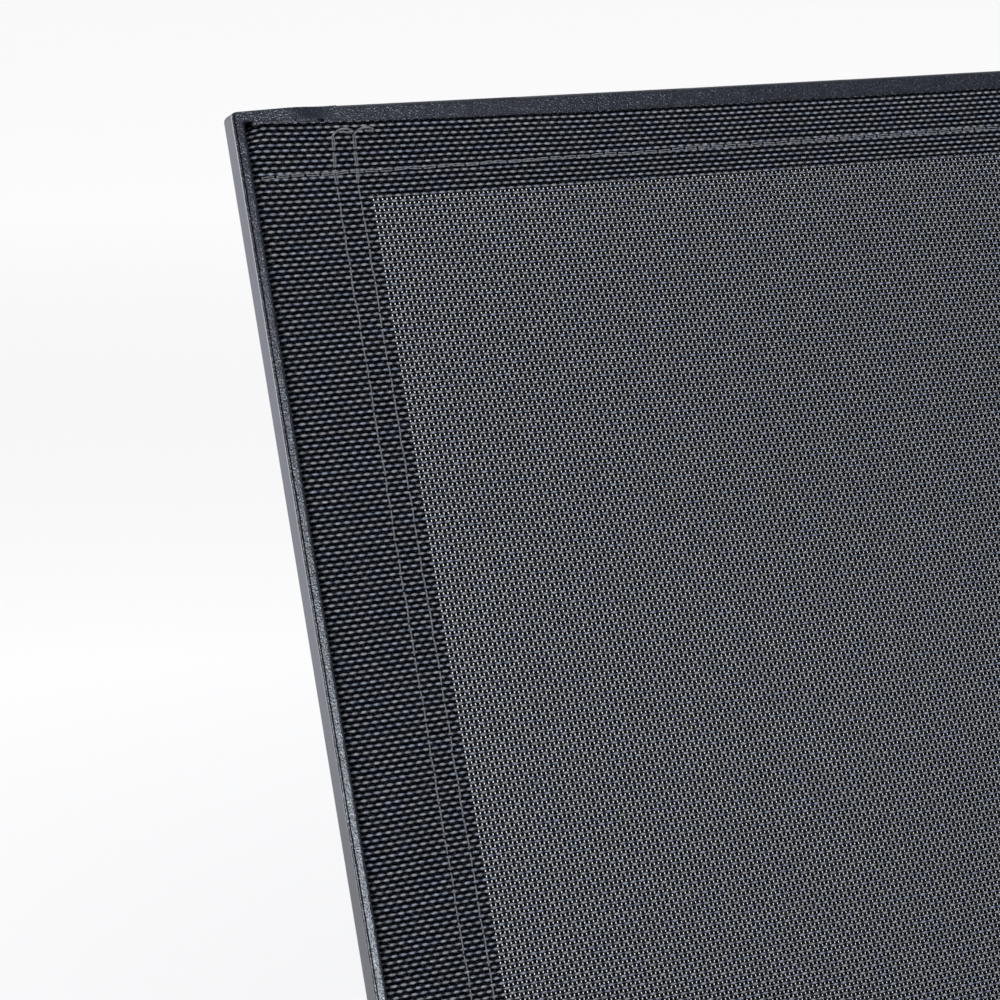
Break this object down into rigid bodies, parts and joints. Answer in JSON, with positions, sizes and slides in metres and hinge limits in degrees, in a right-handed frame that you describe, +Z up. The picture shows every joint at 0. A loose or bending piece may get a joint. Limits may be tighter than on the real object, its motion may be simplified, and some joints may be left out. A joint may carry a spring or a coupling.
{
  "type": "reclining sun lounger",
  "caption": "low aluminium sling lounger with a hinged backrest propped by a folding strut on toothed racks",
  "frame": {"origin": "on the ground below the middle of the frame", "axes": "+X across the lounger, +Y along it towards the head end, +Z up"},
  "size_m": [0.646, 1.93, 0.9762],
  "materials": {
    "powder_coated_frame": "fine textured powder coat",
    "sling_fabric": "open plain weave of coated yarn",
    "edge_rod": "extruded",
    "black_plastic": "moulded, fine grain",
    "rubber": "matt",
    "stainless": "turned and passivated"
  },
  "bodies": {
    "base": {"base_rail_left": "powder_coated_frame", "base_rail_right": "powder_coated_frame", "foot_rail": "powder_coated_frame", "frame_bolts": "stainless", "glides_front": "black_plastic", "glides_rear": "black_plastic", "head_rail": "powder_coated_frame", "hinge_bolts": "stainless", "hinge_nuts": "stainless", "hinge_spacers": "black_plastic", "leg_front_left": "powder_coated_frame", "leg_front_right": "powder_coated_frame", "leg_rear_left": "powder_coated_frame", "leg_rear_right": "powder_coated_frame", "rack_left": "black_plastic", "rack_right": "black_plastic", "rail_end_caps": "black_plastic", "rest_pads": "rubber", "rest_plate_left": "powder_coated_frame", "rest_plate_right": "powder_coated_frame", "seat_sling": "sling_fabric", "seat_sling_rods": "edge_rod", "seat_tube_front": "powder_coated_frame", "seat_tube_rear": "powder_coated_frame", "stretcher_front": "powder_coated_frame", "stretcher_rear": "powder_coated_frame"},
    "backrest": {"back_bottom_rail": "powder_coated_frame", "back_corner_left": "powder_coated_frame", "back_corner_right": "powder_coated_frame", "back_rail_left": "powder_coated_frame", "back_rail_plugs": "black_plastic", "back_rail_right": "powder_coated_frame", "back_sling": "sling_fabric", "back_sling_rods": "edge_rod", "back_top_rail": "powder_coated_frame", "back_tube": "powder_coated_frame", "hinge_bushes": "black_plastic", "hinge_ear_left": "powder_coated_frame", "hinge_ear_right": "powder_coated_frame", "strut_bracket_left": "powder_coated_frame", "strut_bracket_right": "powder_coated_frame", "strut_nuts": "stainless", "strut_pins": "stainless", "strut_washers": "black_plastic"},
    "strut": {"foot_bar_caps": "black_plastic", "strut_foot_bar": "powder_coated_frame", "strut_leg_left": "powder_coated_frame", "strut_leg_right": "powder_coated_frame", "strut_stay": "powder_coated_frame"}
  },
  "joints": [
    {"name": "recline", "type": "hinge", "parent": "base", "child": "backrest", "pos_m": [0, 0.22, 0.296], "axis": [1, 0, 0], "range_deg": [-70, 6]},
    {"name": "strut_swing", "type": "hinge", "parent": "backrest", "child": "strut", "pos_m": [0, 0.32261, 0.57791], "axis": [1, 0, 0], "range_deg": [-12, 140]}
  ],
  "couplings": [
    {"joint": "strut_swing", "follows": "recline", "ratio": -2}
  ]
}
